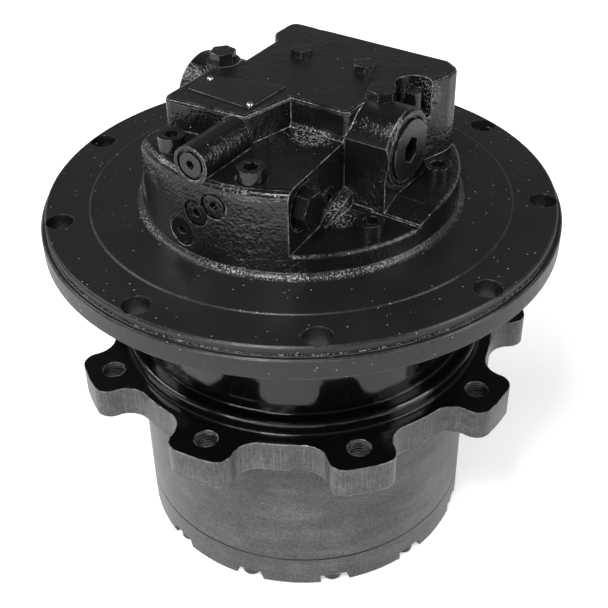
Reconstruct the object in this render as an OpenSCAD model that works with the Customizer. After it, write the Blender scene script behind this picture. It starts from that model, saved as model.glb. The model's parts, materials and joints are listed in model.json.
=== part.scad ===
// Hydraulic travel drive motor: an axial piston motor with a parking brake in a
// flanged housing, and a two-stage planetary gear inside the rotating hub.
// Origin: centre of the mounting face, on the axis of rotation. +Z points to the valve block.

/* [Mounting flange] */
// Radius of the mounting flange
flange_r = 160; // [150:1:175]
// Thickness of the mounting flange
flange_t = 19.5; // [15:0.5:22]
// Drop from the mounting face to the outer rim
rim_drop = 6.3; // [4:0.1:8]
// Width of the lowered outer rim
rim_w = 3; // [2:0.5:5]
// Number of frame bolt holes
frame_holes = 9; // [6:1:12]
// Radius of the frame bolt circle
frame_bolt_circle_r = 148; // [142:0.5:150]
// Radius of a frame bolt hole
frame_hole_r = 8.25; // [6:0.25:9]
// Radius of the raised pad round the valve block
pad_r = 129.5; // [115:0.5:134]

/* [Spindle and bearings] */
// Radius of the main bearing seats on the spindle
seat_r = 75; // [74:0.5:77]
// Radius of the main bearing bores in the hub
bearing_bore_r = 91; // [89:0.5:92]
// Width of one main bearing
bearing_w = 20; // [16:1:22]
// Radius of a main bearing ball
ball_r = 5.6; // [4.5:0.1:6]
// Number of balls in one main bearing
ball_count = 28; // [12:1:36]
// Depth of the spindle end below the mounting face
spindle_end = 112; // [110:1:116]

/* [Hub] */
// Radius of the lower hub
hub_r = 111; // [110:0.5:116]
// Radius of the neck between the two flanges
neck_r = 108; // [104:0.5:109]
// Depth of the top face of the sprocket flange
sprocket_face = 98.5; // [90:0.5:105]
// Thickness of the sprocket flange
sprocket_t = 20.5; // [16:0.5:26]
// Number of lobes on the sprocket flange
lobes = 9; // [6:1:9]
// Radius to the tip of a lobe
lobe_tip_r = 148.5; // [144:0.5:152]
// Radius to the valley between two lobes
lobe_valley_r = 125.5; // [123:0.5:127]
// Radius of the sprocket bolt circle
sprocket_bolt_circle_r = 131.8; // [130:0.1:134]
// Tap radius of a sprocket bolt hole
sprocket_hole_r = 7.0; // [5:0.25:8]
// Depth of the seam between hub and end cover
seam = 215.5; // [212:0.5:222]
// Overall depth of the end cover below the mounting face
drive_end = 239.4; // [234:0.2:244]

/* [End cover] */
// Number of screws and pockets in the end cover
end_screws = 12; // [8:1:14]
// Width of one screw pocket
pocket_w = 17.5; // [15:0.5:22]
// Depth of one screw pocket
pocket_depth = 7.5; // [6.5:0.1:8.5]
// Radius of the end cover screw circle
end_screw_circle_r = 104; // [102.5:0.25:105]

/* [Valve block] */
// Radius of the round foot of the valve block
foot_r = 97; // [96:0.5:100]
// Height of the foot plate above the mounting face
plate_z = 15; // [13:0.5:18]
// Height of the lower deck above the mounting face
deck_z = 54.5; // [50:0.5:58]
// Height of the top face above the mounting face
top_z = 72.7; // [70.5:0.2:78]
// Height of the axis of the counterbalance valve
valve_axis_z = 48.3; // [46:0.1:48.6]
// Outer radius of the counterbalance valve barrel
valve_barrel_r = 24; // [22:0.5:24.5]
// Bore radius of the counterbalance valve
valve_bore_r = 11; // [9:0.5:13]
// Radius of the cover screw circle
cover_screw_circle_r = 84.5; // [83:0.25:86]
// Bore radius of the two main ports
port_r = 10.5; // [8:0.25:12]

/* [Piston motor] */
// Number of pistons
pistons = 7; // [5:2:7]
// Pitch radius of the cylinder bores
bore_circle_r = 36; // [34:0.5:37]
// Radius of a piston
piston_r = 9.9; // [8:0.1:10.2]
// Working tilt of the swash plate in degrees
swash_tilt = 12; // [8:0.5:13]
// Outer radius of the cylinder block
block_r = 50; // [49.5:0.5:51]
// Radius of the drive shaft at its bearing
shaft_r = 15; // [13:0.5:15.5]

/* [Gears] */
// Module of all gears
gear_module = 3; // [3:0.02:3.06]
// Teeth of the ring gear
ring_teeth = 63; // [63]
// Teeth of each sun gear
sun_teeth = 15; // [15]
// Play between meshing teeth on the pitch line
tooth_play = 0.45; // [0.3:0.05:0.6]
// Face width of the first-stage planets
first_face_w = 26; // [20:1:28]
// Face width of the second-stage planets
second_face_w = 36; // [30:1:36]

/* [Hidden] */

$fn = 96;
bite = 1;
fit_gap = 0.05;
running_gap = 0.2;
seat_gap = 0.3;

// Angles, measured from +X
frame_hole_phase = 27.3;
lobe_phase = 38.1;
pocket_phase = 13.4;

// Levels of the housing, from the valve block down
housing_top = 4;
brake_bore_r = 72;
plate_bore_r = 69;
brake_step_z = -12;
brake_floor = -38.9;
seal_r = 24;
cavity_r = 56;
cavity_floor = -93;
seal_seat_r = 84;
seal_bore_r = seal_seat_r + 12;
seal_seat_z = -36;
hub_top = -flange_t - 3;
upper_bearing_z = -60;
lower_bearing_z = -104;
nut_t = 6;
thread_r = seat_r - 1;
nut_r = seat_r + 9;
bearing_mid_r = (seat_r + bearing_bore_r) / 2;
ring_land_r = 2.6;

// Gear train
planet_teeth = (ring_teeth - sun_teeth) / 2;
centre_r = gear_module * (sun_teeth + planet_teeth) / 2;
ring_root_r = gear_module * (ring_teeth / 2 + 1.25);
ring_tip_r = gear_module * (ring_teeth / 2 - 0.9);
second_top = -spindle_end - 3;
second_bottom = second_top - second_face_w;
carrier_top = second_bottom - 6;
carrier_t = 12;
first_top = carrier_top - carrier_t - 2.5;
first_bottom = first_top - first_face_w;
pin_r = 12;
first_pin_r = 11;
pin_embed = 15;
clip_t = 1.5;
stem_r = 8.4;
sun_bore_r = 10;
spigot_r = ring_root_r + 0.5;
spigot_h = 9;
cover_inner_z = -seam - 1.5;
seam_bevel = 0.5;
pocket_z = -drive_end + pocket_depth;
pocket_slope = 2.5;
land_inner_r = 93;
end_screw_r = 4;
end_screw_head_r = 6.5;
end_screw_head_h = 5.3;
drain_r = 8;
drain_circle_r = 60;

// Arcs of a sprocket lobe: corner and hollow circles that touch each other
lobe_corner_r = 10;
lobe_hollow_r = 15;
lobe_hollow_a = 14.5;
lobe_corner_a = lobe_hollow_a - lobe_turn(lobe_tip_r - lobe_corner_r, lobe_valley_r + lobe_hollow_r);

// Piston motor
shoe_circle_r = 2 * bore_circle_r / (1 + cos(swash_tilt));
cylinder_bore_r = piston_r + (shoe_circle_r - bore_circle_r) + running_gap;
ball_centre_z = -66;
piston_ball_r = 6.5;
piston_neck_r = 4;
piston_top_z = ball_centre_z + 49;
block_top = -2.2;
block_bottom = -52;
valve_plate_t = 6;
shoe_sole = 9.5;
shoe_flange_t = 3.5;
shoe_cup_r = 8;
shoe_r = 9.2;
swash_r = 50;
swash_bottom = -91;
pivot_ball_r = 6;
pivot_x = 38;
pivot_z = -92;
guide_r = 19;
shaft_top = 24;
shaft_bottom = -spindle_end - 0.5;
spline_r = 12.4;
spring_ledge_z = -22;
guide_top = 9;
front_bearing_r = 31;
front_bearing_w = 15;
front_race_r = (shaft_r + front_bearing_r) / 2;
front_ball_r = 4.4;

// Parking brake
brake_piston_top = 1;
brake_piston_bottom = -20;
friction_t = 2.4;
separator_t = 1.6;
plate_pitch = separator_t + friction_t + 2 * seat_gap;
plate_pairs = 4;
friction_outer_r = 66;
separator_inner_r = 54;

// Valve block
screw_angles = [16.4, 74, 112, 155, 203, 246.4, 286.3, 331.4];
screw_seats = [plate_z + 7, plate_z, plate_z, plate_z, plate_z, deck_z, deck_z - 1.5, plate_z];
screw_head_r = 7.7;
screw_head_h = 9;
screw_r = 5;
screw_depth = 20;
barrel_y = 2.3;
barrel_left = -76.5;
barrel_right = 73;
plug_r = 17.8;
plug_t = 9;
speed_x = -5.6;
speed_z = 60.9;
speed_barrel_r = 11;
speed_end = -96;
speed_bore_r = 5.5;
speed_plug_r = 7.1;
spool_half = 38;
plug_reach = 20;
speed_spool_y = -66;
port_x = 22;
port_z = 40;
back_y = 72;
drain_z = 22;
drain_port_r = 6.6;
drain_depth = 16;
pilot_x = 44;
pilot_z = 58;
pilot_port_r = 4.9;
pilot_depth = 14;
recess_x = 43.7;
recess_front_x = 50;
block_left = -55;
deck_edge_r = 6;
slab_edge = 2;
main_corners = [[-40, 66, 6], [40, 66, 6], [42, -16, 4], [-40, -16, 4]];
left_post_corners = [[-47, 66, 6], [-47, 53, 6], [-38, 40, 6], [0, 66, 6]];
platform_corners = [[4.5, -16, 4], [-3.5, -50, 4], [-49, -53, 6], [-49, 2, 6], [0, 0, 6]];
right_post_corners = [[58, 66, 6], [64, 62, 6], [64, 56, 6], [56, 30, 6], [30, 66, 6], [30, 30, 6]];
hex_plug_x = recess_x + 1.5;
hex_plug_y = -67.4;
hex_plug_z = 37.7;
hex_plug_af = 19;
hex_plug_h = 10;
hex_plug_r = 8;
hex_spot_r = 14;
relief_x = 58;
relief_y = 33;
relief_floor = 50;
port_depth = 22;
passage_y = 28;
passage_r = 6;
rear_bearing_r = 17;
rear_bearing_top = 21;
shaft_top_r = 11;
speed_bore_end = -41;
speed_plug_t = 12;
small_plug_r = 6.6;
side_plugs = [[recess_x + 1.5, -39.5, 28.5]];
// Socket plugs in the front: x, y, z, radius
front_plugs = [
    [8.5, -foot_r + 1, 40.1, small_plug_r], [-4, -foot_r + 1, 31.9, small_plug_r],
    [-16.4, -foot_r + 2.2, 16, 8]
];
// Hexagon plugs on the top: x, y, level of the seat, width across flats, height, turn
top_plugs = [
    [-20.1, 32.4, top_z, 12.4, 4.2, 0], [23.7, 34.3, top_z, 12.4, 4.2, 0],
    [51, 8.3, 72.2, 15, 5.6, -15], [-55, -0.2, 73, 14, 6, -10]
];
plug_neck = 0.38;
top_boss_r = 10.5;
// Cast fillet in the corner of the recess: x, y, height above the foot plate
recess_fillet = [
    [recess_x + 1, -47, 2], [50.2, -48.8, 0.5], [62.8, -36.2, 0.5], [64, -20, 0.8], [recess_x, -20, 11]
];

function polar(r, a) = [r * cos(a), r * sin(a)];
function arc(r, a0, a1, steps) = [for (i = [0 : steps]) polar(r, a0 + (a1 - a0) * i / steps)];

// Turn between two circle centres at radii a and b whose circles touch
function lobe_turn(a, b) = acos((a * a + b * b - pow(lobe_corner_r + lobe_hollow_r, 2)) / (2 * a * b));
function lobe_corner(side) = polar(lobe_tip_r - lobe_corner_r, side * lobe_corner_a);
function lobe_hollow(side) = polar(lobe_valley_r + lobe_hollow_r, side * lobe_hollow_a);
function lobe_touch(side) = lobe_corner(side)
    + (lobe_hollow(side) - lobe_corner(side)) * lobe_corner_r / (lobe_corner_r + lobe_hollow_r);

// Involute of an angle in degrees, as an angle in degrees
function involute(a) = tan(a) * 180 / PI - a;
function flank_angle(r, base_r) = involute(acos(min(1, base_r / r)));

// Half the angle that a tooth fills at radius r
function half_tooth(r, teeth, play) =
    90 / teeth - play / 2 / (gear_module * teeth / 2) * 180 / PI
    + involute(20) - flank_angle(r, gear_module * teeth / 2 * cos(20));

// Outline of a gear: each tooth has its root, three points on each flank and its tip
function gear_points(teeth, root_r, tip_r, play, phase) = let(
    base_r = gear_module * teeth / 2 * cos(20),
    start_r = max(root_r + 0.1, base_r),
    radii = [for (i = [0 : 3]) start_r + (tip_r - start_r) * i / 3]
) [
    for (k = [0 : teeth - 1]) let(a = phase + 360 * k / teeth) each concat(
        [polar(root_r, a - half_tooth(start_r, teeth, play))],
        [for (r = radii) polar(r, a - half_tooth(r, teeth, play))],
        [for (i = [3 : -1 : 0]) polar(radii[i], a + half_tooth(radii[i], teeth, play))],
        [polar(root_r, a + half_tooth(start_r, teeth, play))]
    )
];

// Tooth phases that mesh with a ring gear whose space is centred on +X
function planet_phase(a) = a - (a * ring_teeth / 360) * 360 / planet_teeth;
function sun_phase(a) = a - (0.5 - (a + 180 - planet_phase(a)) * planet_teeth / 360) * 360 / sun_teeth;

function tilted(x, y) = [x, y * cos(swash_tilt), ball_centre_z + y * sin(swash_tilt)];
function shoe_centre(k) = let(p = polar(shoe_circle_r, 360 * k / pistons)) tilted(p.x, p.y);

// Corner points of a splined shaft or bore with 16 teeth
function spline_points(r) = [for (k = [0 : 15]) let(a = 22.5 * k) each
    [polar(r - 1.6, a - 7), polar(r, a - 5), polar(r, a + 5), polar(r - 1.6, a + 7)]];

module ring(outer_r, inner_r, z0, z1) {
    translate([0, 0, z0]) difference() {
        cylinder(r = outer_r, h = z1 - z0);
        translate([0, 0, -bite]) cylinder(r = inner_r, h = z1 - z0 + 2 * bite);
    }
}

module disc(r, z0, z1) {
    translate([0, 0, z0]) cylinder(r = r, h = z1 - z0);
}

module hex(flats, h) {
    cylinder(r = flats / 2 / cos(30), h = h, $fn = 6);
}

module around(count, r, phase = 0) {
    for (k = [0 : count - 1]) rotate(phase + 360 * k / count) translate([r, 0, 0]) children();
}

module along_x() {
    rotate([0, 90, 0]) children();
}

module along_y() {
    rotate([-90, 0, 0]) children();
}

module gear(teeth, root_r, tip_r, phase, z0, z1) {
    translate([0, 0, z0]) linear_extrude(z1 - z0)
        polygon(gear_points(teeth, root_r, tip_r, tooth_play, phase));
}

module at_planet(k) {
    rotate(120 * k) translate([centre_r, 0, 0]) rotate(-120 * k) children();
}

// Cast slab above the foot with rounded upright corners and a rounded top edge.
// Each corner is the centre of its round and the radius of that round.
module cast_slab(corners, top) {
    hull() for (p = corners) {
        slab_corner(p, p[2], top - slab_edge);
        slab_corner(p, p[2] - slab_edge * 0.3, top - slab_edge * 0.3);
        slab_corner(p, p[2] - slab_edge, top);
    }
}

module slab_corner(p, r, top) {
    translate([p[0], p[1], plate_z - bite]) cylinder(r = r, h = top - plate_z + bite, $fn = 24);
}

// Plug with a flange, a body and a hexagon socket; its face is at z = 0
module socket_plug(face_r, face_t, body_r, depth, flats) {
    difference() {
        union() {
            translate([0, 0, -face_t]) cylinder(r = face_r, h = face_t);
            translate([0, 0, -depth]) cylinder(r = body_r, h = depth - face_t + 0.01);
        }
        translate([0, 0, -depth * 0.45]) hex(flats, depth);
    }
}

module motor_housing() {
    color("#1c1d1f") difference() {
        rotate_extrude($fn = 180) polygon([
            [brake_bore_r, housing_top], [foot_r, housing_top], [foot_r + 0.8, 2.4],
            [foot_r + 2, 1.2], [foot_r + 4, 0.6], [pad_r, 0.6], [pad_r + 0.6, 0],
            [flange_r - rim_w - 1, 0], [flange_r - rim_w, -1], [flange_r - rim_w, -4.2],
            [flange_r - rim_w - 0.8, -5.2], [flange_r - rim_w, -rim_drop],
            [flange_r - 0.8, -rim_drop], [flange_r, -rim_drop - 0.8],
            [flange_r, -flange_t + 0.8], [flange_r - 0.8, -flange_t],
            [neck_r, -flange_t], [neck_r, -flange_t - 1.5], [seal_seat_r + 14, -flange_t - 1.5],
            [seal_seat_r + 14, -flange_t - 3], [seal_seat_r, -flange_t - 3],
            [seal_seat_r, seal_seat_z], [seat_r + 4, seal_seat_z - 2],
            [seat_r + 4, upper_bearing_z + bearing_w], [seat_r, upper_bearing_z + bearing_w],
            [seat_r, lower_bearing_z], [thread_r, lower_bearing_z],
            [thread_r, -spindle_end + 1], [thread_r - 1, -spindle_end],
            [seal_r, -spindle_end], [seal_r, cavity_floor - front_bearing_w],
            [front_bearing_r, cavity_floor - front_bearing_w],
            [front_bearing_r, cavity_floor], [cavity_r, cavity_floor],
            [cavity_r, brake_floor - 4], [cavity_r + 4, brake_floor],
            [plate_bore_r, brake_floor], [plate_bore_r, brake_step_z], [brake_bore_r, brake_step_z]
        ]);
        around(frame_holes, frame_bolt_circle_r, frame_hole_phase)
            translate([0, 0, -flange_t - bite]) cylinder(r = frame_hole_r, h = flange_t + 2 * bite);
        for (a = screw_angles) rotate(a) translate([cover_screw_circle_r, 0, housing_top - screw_depth])
            cylinder(r = screw_r, h = screw_depth + bite);
        for (k = [0 : 2]) at_planet(k) disc(pin_r, -spindle_end - bite, -spindle_end + pin_embed);
        for (x = [-pivot_x, pivot_x]) translate([x, 0, pivot_z]) sphere(pivot_ball_r);
        ring(78.2, 74.8, housing_top - 2.2, housing_top + bite);
    }
}

module valve_block() {
    color("#151618") difference() {
        union() {
            foot_profile(plate_z, 2);
            // Lower deck, and the slope up to the pad of the first cover screw
            intersection() {
                foot_profile(deck_z, deck_edge_r);
                translate([block_left, -foot_r, housing_top])
                    cube([recess_front_x - block_left, foot_r, foot_r]);
            }
            intersection() {
                foot_profile(screw_seats[0], 2);
                translate([50, 0, 0]) rotate([90, 0, 90]) linear_extrude(foot_r) polygon([
                    [-24, plate_z], [-6, screw_seats[0]], [64, screw_seats[0]], [80, plate_z],
                    [80, 5], [-24, 5]
                ]);
            }
            cast_slab(main_corners, top_z);
            cast_slab(left_post_corners, top_z);
            cast_slab(platform_corners, top_z);
            cast_slab(right_post_corners, top_z);
            translate([0, barrel_y, valve_axis_z]) along_x() rotate_extrude() polygon([
                [0, barrel_left], [valve_barrel_r - 2, barrel_left], [valve_barrel_r, barrel_left + 2],
                [valve_barrel_r, barrel_right - 2], [valve_barrel_r - 2, barrel_right], [0, barrel_right]
            ]);
            translate([barrel_left + 2, -20, plate_z - bite])
                cube([barrel_right - barrel_left - 4, barrel_y + valve_barrel_r + 20,
                    valve_axis_z - plate_z + bite]);
            translate([speed_x, speed_end, speed_z]) along_y() cylinder(r = speed_barrel_r, h = 42);
            // Boss of the plug on the left end of the spool barrel
            translate([top_plugs[3][0], top_plugs[3][1], valve_axis_z])
                cylinder(r = top_boss_r, h = top_plugs[3][2] - valve_axis_z);
        }
        front_recess();
        // Pocket of the relief valve, open to the right
        translate([relief_x, relief_y, relief_floor]) cylinder(r = 11, h = 60);
        for (i = [0 : len(screw_angles) - 1]) rotate(screw_angles[i])
            translate([cover_screw_circle_r, 0, 0]) {
                cylinder(r = screw_r + 0.5, h = 100);
                translate([0, 0, screw_seats[i]]) cylinder(r = screw_head_r + 1, h = 100);
            }
        valve_bores();
        motor_bores();
        plug_bores();
    }
}

// Recess at the front right, down to the foot plate, with a cast fillet in its corner
module front_recess() {
    difference() {
        translate([0, 0, plate_z]) linear_extrude(foot_r) polygon([
            [recess_x, -20], [recess_front_x, -foot_r], [2 * foot_r, -foot_r], [2 * foot_r, -20]
        ]);
        hull() for (p = recess_fillet)
            translate([p.x, p.y, plate_z - bite]) cylinder(r = 0.4, h = p.z + bite, $fn = 8);
    }
}

// Round body of the block up to a level, with a rounded top edge
module foot_profile(top, edge_r) {
    rotate_extrude($fn = 180) polygon(concat(
        [[0, housing_top], [foot_r, housing_top]],
        [for (k = [0 : 4])
            [foot_r - edge_r + edge_r * cos(22.5 * k), top - edge_r + edge_r * sin(22.5 * k)]],
        [[0, top]]
    ));
}

// Bores of the counterbalance valve and of the speed valve
module valve_bores() {
    translate([0, barrel_y, valve_axis_z]) {
        translate([barrel_left - bite, 0, 0]) along_x()
            cylinder(r = valve_bore_r, h = barrel_right - barrel_left + 2 * bite);
        translate([barrel_left - bite, 0, 0]) along_x() {
            cylinder(r = plug_r, h = plug_t + bite);
            cylinder(r = plug_r + 1.5, h = 2 + bite);
        }
        translate([barrel_right + bite, 0, 0]) mirror([1, 0, 0]) along_x() {
            cylinder(r = plug_r, h = plug_t + bite);
            cylinder(r = plug_r + 1.5, h = 2 + bite);
        }
    }
    translate([speed_x, speed_end - bite, speed_z]) along_y() {
        cylinder(r = speed_bore_r, h = speed_bore_end - speed_end + bite);
        cylinder(r = speed_plug_r, h = speed_plug_t + bite);
        cylinder(r = speed_plug_r + 2, h = 2.5 + bite);
    }
}

// Main ports at the back, their passages to the valve plate, and the shaft space
module motor_bores() {
    for (x = [-port_x, port_x]) {
        translate([x, back_y - port_depth, port_z]) along_y() cylinder(r = port_r, h = port_depth + bite);
        translate([x, back_y - 1, port_z]) along_y() cylinder(r = port_r + 5, h = 1 + bite);
        translate([x, passage_y, port_z]) along_y() cylinder(r = passage_r, h = back_y - passage_y - 1);
        translate([x, passage_y, housing_top - bite]) cylinder(r = passage_r, h = port_z - housing_top);
    }
    translate([0, back_y - drain_depth, drain_z]) along_y()
        cylinder(r = drain_port_r, h = drain_depth + bite);
    translate([0, back_y - 1, drain_z]) along_y() cylinder(r = drain_port_r + 4, h = 1 + bite);
    translate([pilot_x, back_y - pilot_depth, pilot_z]) along_y()
        cylinder(r = pilot_port_r, h = pilot_depth + bite);
    translate([pilot_x, back_y - 1, pilot_z]) along_y() cylinder(r = pilot_port_r + 4, h = 1 + bite);
    disc(rear_bearing_r, housing_top - bite, rear_bearing_top);
    disc(shaft_top_r + 1, housing_top, shaft_top + 2);
}

module plug_bores() {
    translate([hex_plug_x, hex_plug_y, hex_plug_z]) along_x() {
        translate([0, 0, -14]) cylinder(r = hex_plug_r, h = 14 + bite);
        cylinder(r = hex_spot_r, h = 10);
    }
    for (p = side_plugs) translate([p.x - 10, p.y, p.z]) along_x() cylinder(r = small_plug_r, h = 30);
    for (p = front_plugs) translate([p.x, p.y - 10, p.z]) along_y() {
        cylinder(r = p[3], h = 20);
        cylinder(r = p[3] + 1.5, h = 12);
    }
    for (p = top_plugs) translate([p[0], p[1], p[2]]) {
        translate([0, 0, -8]) cylinder(r = p[3] * plug_neck, h = 8 + bite);
        cylinder(r = p[3] * 0.62, h = 5);
    }
}

module valve_block_screws() {
    color("#222326") for (i = [0 : len(screw_angles) - 1]) rotate(screw_angles[i])
        translate([cover_screw_circle_r, 0, screw_seats[i]]) difference() {
            union() {
                cylinder(r = screw_head_r, h = screw_head_h);
                translate([0, 0, -(screw_seats[i] - housing_top + screw_depth - 2)])
                    cylinder(r = screw_r - fit_gap, h = screw_seats[i] - housing_top + screw_depth - 1);
            }
            translate([0, 0, screw_head_h - 5]) hex(8, 6);
        }
}

module spool_end_plugs() {
    color("#3a3b3e") {
        translate([barrel_right + 1.5, barrel_y, valve_axis_z]) along_x()
            socket_plug(plug_r - fit_gap, plug_t + 1.5, valve_bore_r - fit_gap, plug_reach, 14);
        translate([barrel_left - 1.5, barrel_y, valve_axis_z]) mirror([1, 0, 0]) along_x()
            socket_plug(plug_r - fit_gap, plug_t + 1.5, valve_bore_r - fit_gap, plug_reach, 14);
    }
}

module speed_valve_plug() {
    color("#3a3b3e") translate([speed_x, speed_end, speed_z]) rotate([90, 0, 0])
        socket_plug(speed_plug_r - fit_gap, speed_plug_t, speed_bore_r - fit_gap, 17, 5);
}

module hex_port_plug() {
    color("#2a2b2d") translate([hex_plug_x, hex_plug_y, hex_plug_z]) along_x() {
        rotate(30) hex(hex_plug_af, hex_plug_h);
        translate([0, 0, -12]) cylinder(r = hex_plug_r - fit_gap, h = 12 + 0.01);
    }
}

module socket_plugs() {
    color("#2a2b2d") {
        for (p = side_plugs) translate([p.x + 1, p.y, p.z]) along_x()
            socket_plug(small_plug_r - fit_gap, 3, small_plug_r - fit_gap, 9, 5);
        for (p = front_plugs) translate([p.x, p.y, p.z]) rotate([90, 0, 0])
            socket_plug(p[3] - fit_gap, 3, p[3] - fit_gap, 9, 5);
    }
}

module hex_head_plugs() {
    color("#222326") for (p = top_plugs) translate([p[0], p[1], p[2]]) {
        rotate(p[5]) hex(p[3], p[4]);
        translate([0, 0, -7]) cylinder(r = p[3] * plug_neck - fit_gap, h = 7.01);
    }
}

module relief_valve() {
    color("#2a2b2d") translate([relief_x, relief_y, relief_floor]) {
        cylinder(r = 7.5, h = 5);
        cylinder(r = 4.7, h = 18);
    }
}

// Kidney slot that follows the pitch circle of the cylinder bores
module kidney(half_w, from, to, z0, z1) {
    translate([0, 0, z0]) linear_extrude(z1 - z0) polygon(concat(
        arc(bore_circle_r + half_w, from, to, 24),
        arc(bore_circle_r - half_w, to, from, 24)
    ));
    for (a = [from, to]) rotate(a) translate([bore_circle_r, 0, z0]) cylinder(r = half_w, h = z1 - z0);
}

module valve_plate() {
    color("#8d8f92") difference() {
        ring(block_r - 2, 14, housing_top - valve_plate_t, housing_top);
        for (a = [-60, 120])
            kidney(4.5, a, a + 120, housing_top - valve_plate_t - bite, housing_top + bite);
    }
}

module swash_plate() {
    color("#77797c") difference() {
        intersection() {
            translate([0, 0, ball_centre_z]) rotate([swash_tilt, 0, 0])
                translate([0, 0, -shoe_sole - 40]) cylinder(r = swash_r, h = 40);
            disc(cavity_r - 2, swash_bottom, block_bottom);
        }
        disc(guide_r + 2, swash_bottom - bite, block_bottom);
        for (x = [-pivot_x, pivot_x]) translate([x, 0, pivot_z]) sphere(pivot_ball_r);
    }
}

module swash_pivot_balls() {
    color("#b9bbbe") for (x = [-pivot_x, pivot_x]) translate([x, 0, pivot_z])
        sphere(pivot_ball_r - fit_gap);
}

module rear_shaft_bearing() {
    color("#a9abae")
        ring(rear_bearing_r - fit_gap, shaft_top_r + fit_gap, housing_top + 1, rear_bearing_top - 0.5);
}

// Bearing ring with a ball groove turned into it
module grooved_ring(outer_r, inner_r, z0, w, race_r, groove_r) {
    difference() {
        ring(outer_r, inner_r, z0, z0 + w);
        translate([0, 0, z0 + w / 2]) rotate_extrude() translate([race_r, 0]) circle(groove_r, $fn = 48);
    }
}

module front_bearing_outer_ring() {
    color("#a9abae") grooved_ring(front_bearing_r - fit_gap, front_race_r + ring_land_r,
        cavity_floor - front_bearing_w, front_bearing_w, front_race_r, front_ball_r + running_gap);
}

module front_bearing_inner_ring() {
    color("#a9abae") grooved_ring(front_race_r - ring_land_r, shaft_r + fit_gap,
        cavity_floor - front_bearing_w + running_gap, front_bearing_w - running_gap,
        front_race_r, front_ball_r + fit_gap);
}

module front_bearing_balls() {
    color("#c4c6c9") around(10, front_race_r, 18)
        translate([0, 0, cavity_floor - front_bearing_w / 2]) sphere(front_ball_r, $fn = 32);
}

module shaft_seal() {
    color("#2b2724")
        ring(seal_r - fit_gap, shaft_r + fit_gap, -spindle_end, cavity_floor - front_bearing_w - seat_gap);
}

module friction_plates() {
    color("#6f6152") for (i = [0 : plate_pairs - 1])
        ring(friction_outer_r, block_r + fit_gap,
            brake_piston_bottom - plate_pitch * (i + 1),
            brake_piston_bottom - plate_pitch * (i + 1) + friction_t);
}

module separator_plates() {
    color("#8d8f92") for (i = [0 : plate_pairs - 1])
        ring(plate_bore_r - fit_gap, separator_inner_r,
            brake_piston_bottom - plate_pitch * i - seat_gap - separator_t,
            brake_piston_bottom - plate_pitch * i - seat_gap);
}

module brake_piston() {
    color("#77797c") union() {
        ring(brake_bore_r - fit_gap, separator_inner_r, brake_step_z + 4, brake_piston_top);
        ring(plate_bore_r - fit_gap, separator_inner_r, brake_piston_bottom, brake_step_z + 4.01);
    }
}

module brake_disc_spring() {
    color("#5d5f62") rotate_extrude() polygon([
        [separator_inner_r + 2, brake_piston_top], [separator_inner_r + 2, brake_piston_top + 1.2],
        [brake_bore_r - 1, housing_top], [brake_bore_r - 1, housing_top - 1.2]
    ]);
}

module block_sealing_ring() {
    color("#1b1a19") ring(78, 75, housing_top - 2.1, housing_top);
}

module main_bearing_inner_rings() {
    color("#a9abae") {
        for (z = [upper_bearing_z, lower_bearing_z])
            grooved_ring(bearing_mid_r - 1.5, seat_r, z, bearing_w, bearing_mid_r, ball_r + running_gap);
        ring(seat_r + 5, seat_r, lower_bearing_z + bearing_w, upper_bearing_z);
    }
}

module main_bearing_outer_rings() {
    color("#a9abae") for (z = [upper_bearing_z, lower_bearing_z])
        grooved_ring(bearing_bore_r, bearing_mid_r + 1.5, z, bearing_w, bearing_mid_r, ball_r + fit_gap);
}

module main_bearing_balls() {
    color("#c4c6c9") for (z = [upper_bearing_z, lower_bearing_z])
        around(ball_count, bearing_mid_r) translate([0, 0, z + bearing_w / 2]) sphere(ball_r, $fn = 32);
}

module bearing_nut() {
    color("#5d5f62") difference() {
        ring(nut_r, thread_r, lower_bearing_z - nut_t, lower_bearing_z);
        around(4, nut_r) translate([-3, -4, lower_bearing_z - nut_t - bite])
            cube([10, 8, nut_t + 2 * bite]);
    }
}

module fixed_seal_ring() {
    color("#6a6c6f") ring(seal_seat_r + 11, seal_seat_r, -flange_t - 10, -flange_t - 3);
}

module rotating_seal_ring() {
    color("#6a6c6f") ring(seal_bore_r, seal_seat_r + 2, seal_seat_z, -flange_t - 10 - running_gap);
}

module second_stage_pins() {
    color("#8d8f92") for (k = [0 : 2]) at_planet(k) {
        pin_with_clip(pin_r, second_bottom, -spindle_end + pin_embed);
        ring(pin_r + 5, pin_r, second_top + seat_gap, -spindle_end);
    }
}

module planet(bore_r, k, z0, z1) {
    difference() {
        translate([centre_r * cos(120 * k), centre_r * sin(120 * k), 0])
            gear(planet_teeth, gear_module * (planet_teeth / 2 - 1.25),
                gear_module * (planet_teeth / 2 + 0.9),
                planet_phase(120 * k), z0, z1);
        at_planet(k) disc(bore_r, z0 - bite, z1 + bite);
    }
}

module first_planet(k) {
    color("#6a6c6f") planet(first_pin_r + fit_gap, k, first_bottom, first_top);
}

module second_planet(k) {
    color("#6a6c6f") planet(pin_r + fit_gap, k, second_bottom, second_top);
}

module sun(z0, z1) {
    gear(sun_teeth, gear_module * (sun_teeth / 2 - 1.25), gear_module * (sun_teeth / 2 + 0.9),
        sun_phase(0), z0, z1);
}

module first_sun_gear() {
    color("#7f8184") union() {
        sun(first_bottom - 1, first_top + 0.5);
        disc(stem_r, first_top, cavity_floor - 4);
    }
}

module second_sun_gear() {
    color("#7f8184") difference() {
        union() {
            sun(second_bottom - 0.5, second_top + 0.5);
            disc(16, carrier_top - carrier_t, second_bottom);
        }
        disc(sun_bore_r, carrier_top - carrier_t - bite, second_top + 2);
    }
}

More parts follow.
